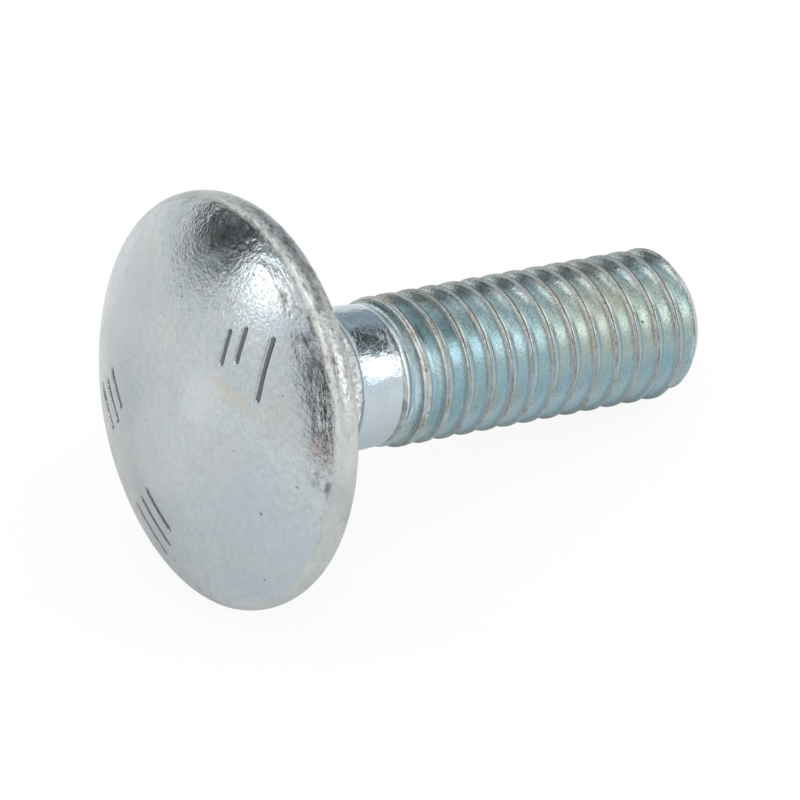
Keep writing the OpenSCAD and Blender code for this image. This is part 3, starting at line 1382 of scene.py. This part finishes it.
@dataclass(frozen=True)
class Studio:
    """White surroundings, pale floor, soft lamps and dark cards."""

    panels: tuple
    surround_light: float = 0.9
    floor_size: float = 6.0
    floor_shade: float = 0.95
    floor_glow: float = 0.2
    floor_lift: float = 0.9

    def surround(self) -> None:
        """Sets the world: white where it is seen or reflected, softer where it lights."""
        world = bpy.data.worlds.new("surround")
        bpy.context.scene.world = world
        world.use_nodes = True
        graph = Graph(world.node_tree)
        level = self.surround_light + (1 - self.surround_light) * self.seen(graph)
        light = graph.node("ShaderNodeBackground", {"Color": WHITE, "Strength": level})
        graph.node("ShaderNodeOutputWorld", {"Surface": light.outputs[0]})

    @staticmethod
    def seen(graph: Graph) -> Value:
        """1 for rays from the camera, or reflected or passed on to it, and 0 for the others.

        Args:
            graph: the tree's wrapper.

        Returns:
            The value.
        """
        path = graph.node("ShaderNodeLightPath").outputs
        rays = ("Is Camera Ray", "Is Glossy Ray", "Is Transmission Ray")
        camera, glossy, through = (Value(graph, path[name]) for name in rays)
        return camera.most(glossy).most(through)

    def floor(self) -> None:
        """Makes the floor, which the camera sees white and shaded by the bolt."""
        material = new_material("floor_paper")
        graph = Graph(material.node_tree)
        paper = graph.node("ShaderNodeBsdfDiffuse", {"Color": (self.floor_shade,) * 3})
        glow = graph.node("ShaderNodeEmission", {"Color": WHITE, "Strength": 1.0})
        camera = Value(graph, graph.node("ShaderNodeLightPath").outputs["Is Camera Ray"])
        share = self.seen(graph) * self.floor_glow + camera * (self.floor_lift - self.floor_glow)
        both = graph.node("ShaderNodeMixShader", {0: share, 1: paper.outputs[0], 2: glow.outputs[0]})
        graph.node("ShaderNodeOutputMaterial", {"Surface": both.outputs[0]})
        made = sheet("floor", (self.floor_size,) * 2, Matrix.Identity(4), material)

    def build(self) -> None:
        """Builds the whole studio."""
        self.surround()
        self.floor()
        for panel in self.panels:
            panel.place()
            log.info("studio: %s", panel.name)


def finishes() -> dict[Zone, Plate]:
    """Finish of each region.

    Returns:
        Region to finish.
    """
    dome_stains_and_light = (
        StainOrLight((-2.63, -2.76, -2.89), (0.5, 1.5, 1.5), (0.56, 0.48, 0.38), 0.40),
        StainOrLight((-2.55, -7.0, -1.25), (1.0, 1.0, 1.0), (0.40, 0.26, 0.22), 0.35),
        # Painted shade: the dome is darker on its lower side, towards the floor.
        StainOrLight((3.5, 3.5, -2.4), (7.5, 7.5, 7.5), (0.21, 0.23, 0.235), 0.42, 0.3),
        # Bluer and darker low on the dome, towards the floor side.
        StainOrLight((2.9, -6.0, -2.0), (4.7, 4.7, 4.7), (0.34, 0.41, 0.45), 0.45, 0.5),
        # Painted dark reflection near the dome's edge at the top of the head.
        StainOrLight((-7.0, 0.45, -1.65), (1.5, 1.4, 1.5), (0.18, 0.205, 0.215), 0.68, 2.2),
        StainOrLight((-2.2, 4.3, -2.5), (3.2, 3.2, 3.2), (0.44, 0.46, 0.475), 0.6, 0.8),
        StainOrLight((1.9, 0.1, -3.1), (3.4, 2.8, 2.5), (0.58, 0.62, 0.635), 0.38, 0.8),
        StainOrLight((-1.6, -1.6, -3.2), (1.8, 1.6, 1.5), (0.63, 0.66, 0.665), 0.4, 0.8),
        StainOrLight((0.2, -3.4, -3.0), (2.6, 2.2, 2.0), (0.42, 0.48, 0.50), 0.35, 0.8),
        # Painted dark reflection: a dark streak along the dome's edge on one side of the head.
        StainOrLight((-5.0, -5.75, -1.25), (0.9, 1.1, 0.5), (0.22, 0.235, 0.24), 0.45, 2.8),
    )
    return {
        Zone.DOME: Plate(
            tint=(0.53, 0.575, 0.59), cool=(0.47, 0.55, 0.59), warm=(0.56, 0.55, 0.55),
            grain_size=0.14, grain_depth=0.017, swell_depth=0.02, streak_depth=0.055, streak_from=6.8,
            streak_size=(0.9, 0.42), streak_shade=1.0, shade_turn=230.0, shade_at=(0.72, 0.9),
            fleck_share=0.18, fleck_size=0.25, dark_colour=(0.15, 0.155, 0.16), pit_size=0.6, pit_share=0.22,
            pit_r=0.10, struck_share=0.8, stains_and_light=dome_stains_and_light,
        ),
        Zone.RIM: RimPlate(
            tint=(0.485, 0.52, 0.51), cool=(0.42, 0.46, 0.455), warm=(0.53, 0.535, 0.50), gloss=0.28,
            matte=0.44, grain_depth=0.02, grain_shade=0.5, streak_depth=0.03, streak_size=(0.6, 0.26),
            streak_shade=0.9, shade_turn=205.0, shade_at=(0.62, 0.85), fleck_share=0.12, fleck_size=0.22,
            stains_and_light=(StainOrLight((-3.2, -7.2, -0.7), (2.6, 2.4, 2.0), (0.62, 0.64, 0.63), 0.55, 0.8),),
        ),
        Zone.NECK: Plate(
            tint=(0.38, 0.405, 0.395), cool=(0.33, 0.37, 0.37), warm=(0.40, 0.385, 0.35), gloss=0.26,
            matte=0.38, grain_size=0.2, grain_depth=0.04, grain_shade=0.6, swell_size=0.5, swell_depth=0.05,
        ),
        Zone.SHANK: Plate(
            tint=(0.51, 0.59, 0.63), cool=(0.44, 0.54, 0.60), warm=(0.55, 0.57, 0.57), gloss=0.19,
            matte=0.25, grain_size=0.17, grain_depth=0.020, swell_size=0.6, swell_depth=0.04,
        ),
        Zone.THREAD: ThreadPlate(
            tint=(0.58, 0.70, 0.725), cool=(0.49, 0.655, 0.705), warm=(0.65, 0.685, 0.62), gloss=0.19,
            matte=0.28, grain_size=0.10, grain_depth=0.012, grain_shade=0.25, spread_from=5.69,
            stains_and_light=(
                StainOrLight((-1.7, -1.9, 14.8), (3.0, 3.0, 3.4), (0.68, 0.66, 0.55), 0.5, 2.4),
                # Painted highlight: a pale patch over the flanks just past the thread's start.
                StainOrLight((-1.2, -2.3, 6.4), (2.2, 2.2, 1.3), (0.84, 0.94, 0.97), 0.6, 0.5),
            ),
        ),
        Zone.TIP: Plate(
            tint=(0.52, 0.54, 0.54), cool=(0.46, 0.50, 0.51), warm=(0.56, 0.55, 0.53), gloss=0.35,
            matte=0.5, grain_depth=0.02, grain_shade=0.4, fleck_share=0.15,
        ),
    }


def studio() -> Studio:
    """Studio of the picture.

    Returns:
        The studio.
    """
    pale_blue = (0.85, 1.0, 1.0)
    return Studio(
        panels=(
            Softbox("top_softbox", -60.0, 78.0, 0.5, 0.5, level=0.9, distance=0.6),
            Softbox("right_softbox", -40.0, 29.0, 0.19, 0.22, level=2.1),
            Softbox("left_strip", 150.0, 28.5, 0.11, 0.12, level=3.1),
            Card("front_panel", -125.0, 42.0, 0.18, 0.14, level=1.3),
            Card("back_left_card", 129.5, 25.8, 0.34, 0.23, roll=44.0, level=0.05, colour=pale_blue),
            Card("left_card", -165.0, 21.0, 0.31, 0.12, roll=130.0, level=0.02, colour=pale_blue),
            Card("back_right_card", 5.0, 45.0, 0.34, 0.18, level=0.01),
            Card("back_card", 40.0, 18.0, 0.26, 0.26, level=0.5, colour=(0.75, 0.88, 1.0)),
            Card("front_card", -78.0, 50.0, 0.20, 0.20, level=0.35, colour=(1.0, 0.97, 0.93)),
        )
    )


def main() -> None:
    """Builds the camera, the studio and the bolt, and hides the imported part."""
    logging.basicConfig(level=logging.INFO, format="%(name)s: %(message)s")
    view = bpy.context.scene.view_settings
    view.view_transform = "Standard"
    Eye().place()
    studio().build()
    stance = Stance.from_record(frame["record"])
    piece = Bolt(Head(), Neck(), Thread(), stance, finishes()).build()
    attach(piece, "root")
    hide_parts("bolt")
    log.info("piece: %s with %d polygons", piece.name, len(piece.data.polygons))


if __name__ == "__main__":
    main()
